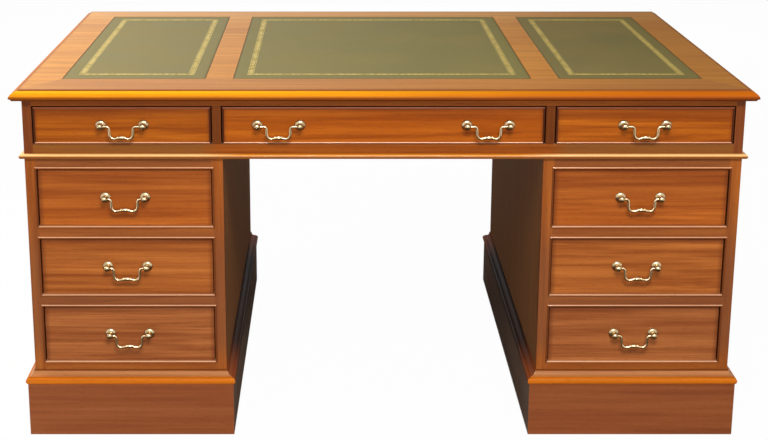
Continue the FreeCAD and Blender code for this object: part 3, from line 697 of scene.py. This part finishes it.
def tooling(name, low, high):
    """The gilt border inside a rectangle, as thin closed strips and dots of gold leaf."""
    bm = bmesh.new()
    foot, leaf, ribbon_lift = high.z - 0.00012, high.z + 0.00008, 0.00002
    border, outer_fillet, inner_fillet = 0.013, 0.0014, 0.0012
    half_wave, swing, ribbon, points_per_wave = 0.013, 0.0033, 0.0022, 8
    eye_dot, flower_heart, petal_dot, petal_reach, petals = 0.0017, 0.0020, 0.0014, 0.0043, 8

    def strip(points, width, top, loop):
        """A flat strip along points, mitred where it turns."""
        section = ((1, foot), (1, top), (-1, top), (-1, foot))
        rings = []
        for k, here in enumerate(points):
            before = points[k - 1] if loop or k else here * 2 - points[1]
            ends = k + 1 == len(points) and not loop
            after = here * 2 - points[k - 1] if ends else points[(k + 1) % len(points)]
            normals = [(b - a).normalized().orthogonal() for a, b in ((before, here), (here, after))]
            mitre = normals[0] + normals[1]
            side = mitre * (width / 2 / mitre.dot(normals[0]))
            rings.append([bm.verts.new((*(here + side * s), z)) for s, z in section])
        pairs = list(zip(rings, rings[1:]))
        if loop:
            pairs.append((rings[-1], rings[0]))
        else:
            bm.faces.new(rings[0])
            bm.faces.new(rings[-1])
        for first, second in pairs:
            for k in range(4):
                bm.faces.new((first[k], first[k - 1], second[k - 1], second[k]))

    def ring_of(centre, radius, count):
        """Points spaced evenly round a centre."""
        turns = [2 * math.pi * k / count for k in range(count)]
        return [centre + Vector((math.cos(turn), math.sin(turn))) * radius for turn in turns]

    def dot(centre, radius, facets=10):
        outline = ring_of(centre, radius, facets)
        rings = [[bm.verts.new((*point, z)) for point in outline] for z in (foot, leaf)]
        for ring in rings:
            bm.faces.new(ring)
        for k in range(facets):
            bm.faces.new((rings[0][k - 1], rings[0][k], rings[1][k], rings[1][k - 1]))

    def corners(inset):
        x, y = (low.x + inset, high.x - inset), (low.y + inset, high.y - inset)
        return [Vector((x[0], y[0])), Vector((x[1], y[0])), Vector((x[1], y[1])), Vector((x[0], y[1]))]

    strip(corners(outer_fillet / 2), outer_fillet, leaf, True)
    strip(corners(border - inner_fillet / 2), inner_fillet, leaf, True)
    middle = corners(border / 2)
    for k, flower in enumerate(middle):
        ahead = (middle[(k + 1) % 4] - flower).normalized()
        aside = ahead.orthogonal()
        start, end = flower + ahead * border / 2, middle[(k + 1) % 4] - ahead * border / 2
        waves = round((end - start).length / half_wave)
        steps = points_per_wave * waves
        for sign in (-1, 1):
            points = []
            for step in range(steps + 1):
                sway = sign * swing * math.sin(math.pi * step / points_per_wave)
                points.append(start.lerp(end, step / steps) + aside * sway)
            strip(points, ribbon, leaf + (ribbon_lift if sign > 0 else 0), False)
        for eye in range(waves):
            dot(start.lerp(end, (eye + 0.5) / waves), eye_dot)
        dot(flower, flower_heart)
        for petal in ring_of(flower, petal_reach, petals):
            dot(petal, petal_dot)
    return closed_mesh(name, bm)


gold_finish, shader, place = finish("gold_leaf", Metallic=0.35, Specular_IOR_Level=0.40)
rubbed = place.noise(60.0, 3.0, 0.0, 0.7).step(0.44, 0.62)
dress(
    shader, Base_Color=(rubbed * 0.6).mix(dye(230, 202, 106), dye(142, 121, 58)),
    Roughness=0.34 + 0.20 * rubbed, Normal=place.bump(rubbed, 0.15, 0.0001),
)
clearance = Vector((0.0003, 0.0003, 0.0001))
border_inset = Vector((0.028, 0.046, 0.0))
hides = {"left": dye(125, 111, 56), "centre": dye(123, 110, 54), "right": dye(117, 102, 50)}
for bay, body in hides.items():
    low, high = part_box(f"leather_{bay}")
    low, high = low + clearance, high - clearance * Vector((1, 1, 0))
    leather = piece_of(f"skin_{bay}", skin(f"skin_{bay}", low, high), "case")
    leather.data.materials.append(hide(f"hide_{bay}", body, low, high, border_inset))
    gilding = tooling(f"gilt_{bay}", low + border_inset, high - border_inset)
    border = piece_of(f"gilt_{bay}", gilding, "case")
    border.data.materials.append(gold_finish)
    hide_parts(f"leather_{bay}")

# Studio. A white floor fills the view behind the desk and keeps a faint shadow. Lamps light it from above,
# from the front, the left and the back, and dark and pale cards that only reflections see shape the sheen.
scene = bpy.context.scene
scene.view_settings.view_transform = "Standard"
world = bpy.data.worlds.new("studio")
scene.world = world
world.use_nodes = True
tree = world.node_tree


def on_show(tree):
    """1 for a ray from the camera, a reflection or a clear piece, which all see the plain white studio."""
    rays = tree.nodes.new("ShaderNodeLightPath")
    camera, glossy, clear = (
        Tint(rays.outputs[kind]) for kind in ("Is Camera Ray", "Is Glossy Ray", "Is Transmission Ray")
    )
    return camera.math("MAXIMUM", camera, camera.math("MAXIMUM", glossy, clear))


ambient = 0.18
tree.links.new((on_show(tree) * (1 - ambient) + ambient).socket, tree.nodes["Background"].inputs["Strength"])
tree.nodes["Background"].inputs["Color"].default_value = (1, 1, 1, 1)


def paint(name):
    """An empty material: its node tree, and a way to put a shader on its output."""
    made = bpy.data.materials.new(name)
    made.use_nodes = True
    tree = made.node_tree
    tree.nodes.clear()
    output = tree.nodes.new("ShaderNodeOutputMaterial")

    def put_on(shader):
        tree.links.new(shader.socket, output.inputs["Surface"])

    return made, tree, put_on


def card(name, corners, material):
    """A flat sheet that belongs to the studio and not to the desk."""
    mesh = bpy.data.meshes.new(name)
    mesh.from_pydata(corners, [], [(0, 1, 2, 3)])
    mesh.materials.append(material)
    piece = bpy.data.objects.new(name, mesh)
    scene.collection.objects.link(piece)
    return piece


floor_paint, tree, put_on = paint("white_floor")
seen = on_show(tree)
lit = seen.node("BsdfDiffuse", {"Color": (0.75, 0.75, 0.75, 1)})
white = seen.node("Emission", {"Color": (1, 1, 1, 1), "Strength": 1.0})
white_share, far = 0.975, 30
put_on(seen.node("MixShader", {0: seen * white_share, 1: lit, 2: white}))
card("floor", [(-far, -far, 0), (far, -far, 0), (far, far, 0), (-far, far, 0)], floor_paint)

dark_paint, tree, put_on = paint("dark_cloth")
rays = Tint(tree.nodes.new("ShaderNodeLightPath").outputs["Is Camera Ray"])
put_on(rays.node("BsdfDiffuse", {"Color": (0.10, 0.075, 0.05, 1)}))
sheen_paint, tree, put_on = paint("graded_card")
place = Tint(tree.nodes.new("ShaderNodeTexCoord").outputs["Object"])
rightward = axis_of(place, "X").step(-1.6, 1.2)
upward = axis_of(place, "Z").step(0.85, 1.20)
sheen = (1.05 - rightward * 0.95) * (1.30 - upward * 0.45)
put_on(place.node("Emission", {"Color": (1, 0.96, 0.88, 1), "Strength": sheen}))
cloth = [(-1.7, -7, 0.004), (1.7, -7, 0.004), (1.7, 4, 0.004), (-1.7, 4, 0.004)]
upright_card = [(-2.6, 1.5, 0.70), (2.6, 1.5, 0.70), (2.6, 1.5, 2.2), (-2.6, 1.5, 2.2)]
for piece in (card("dark_cloth", cloth, dark_paint), card("graded_card", upright_card, sheen_paint)):
    piece.visible_camera = piece.visible_diffuse = False
    piece.visible_transmission = piece.visible_shadow = False


def soft_box(name, place, aim, width, height, power, mirrored=True):
    """A rectangular lamp, which polished faces mirror or not."""
    lamp = bpy.data.lights.new(name, "AREA")
    lamp.shape = "RECTANGLE"
    lamp.size = width
    lamp.size_y = height
    lamp.energy = power
    holder = bpy.data.objects.new(name, lamp)
    holder.location = place
    holder.rotation_euler = (Vector(aim) - Vector(place)).to_track_quat("-Z", "Y").to_euler()
    holder.visible_glossy = mirrored
    scene.collection.objects.link(holder)


soft_box("overhead", (0.2, -3.4, 3.1), (0, -0.5, 0.45), 1.5, 0.8, 138)
soft_box("front", (0, -5.6, 1.1), (0, 0, 0.4), 1.4, 1.0, 62, mirrored=False)
soft_box("left", (-2.3, 0, 1.8), (-0.5, 0, 0.76), 1.2, 1.0, 60)
soft_box("back", (0, 5.6, 1.3), (0, 0, 0.4), 2.4, 1.4, 90, mirrored=False)

camera = bpy.data.cameras.new("camera")
camera.lens = 74.28
camera.sensor_width = 36.0
camera.shift_x = 0.0664
camera.shift_y = -0.0260
camera.clip_end = 100
holder = bpy.data.objects.new("camera", camera)
holder.location = (-0.1045, -3.7184, 1.4147)
tilt_down = 0.2711
holder.rotation_euler = (math.pi / 2 - tilt_down, 0, 0)
scene.collection.objects.link(holder)
scene.camera = holder
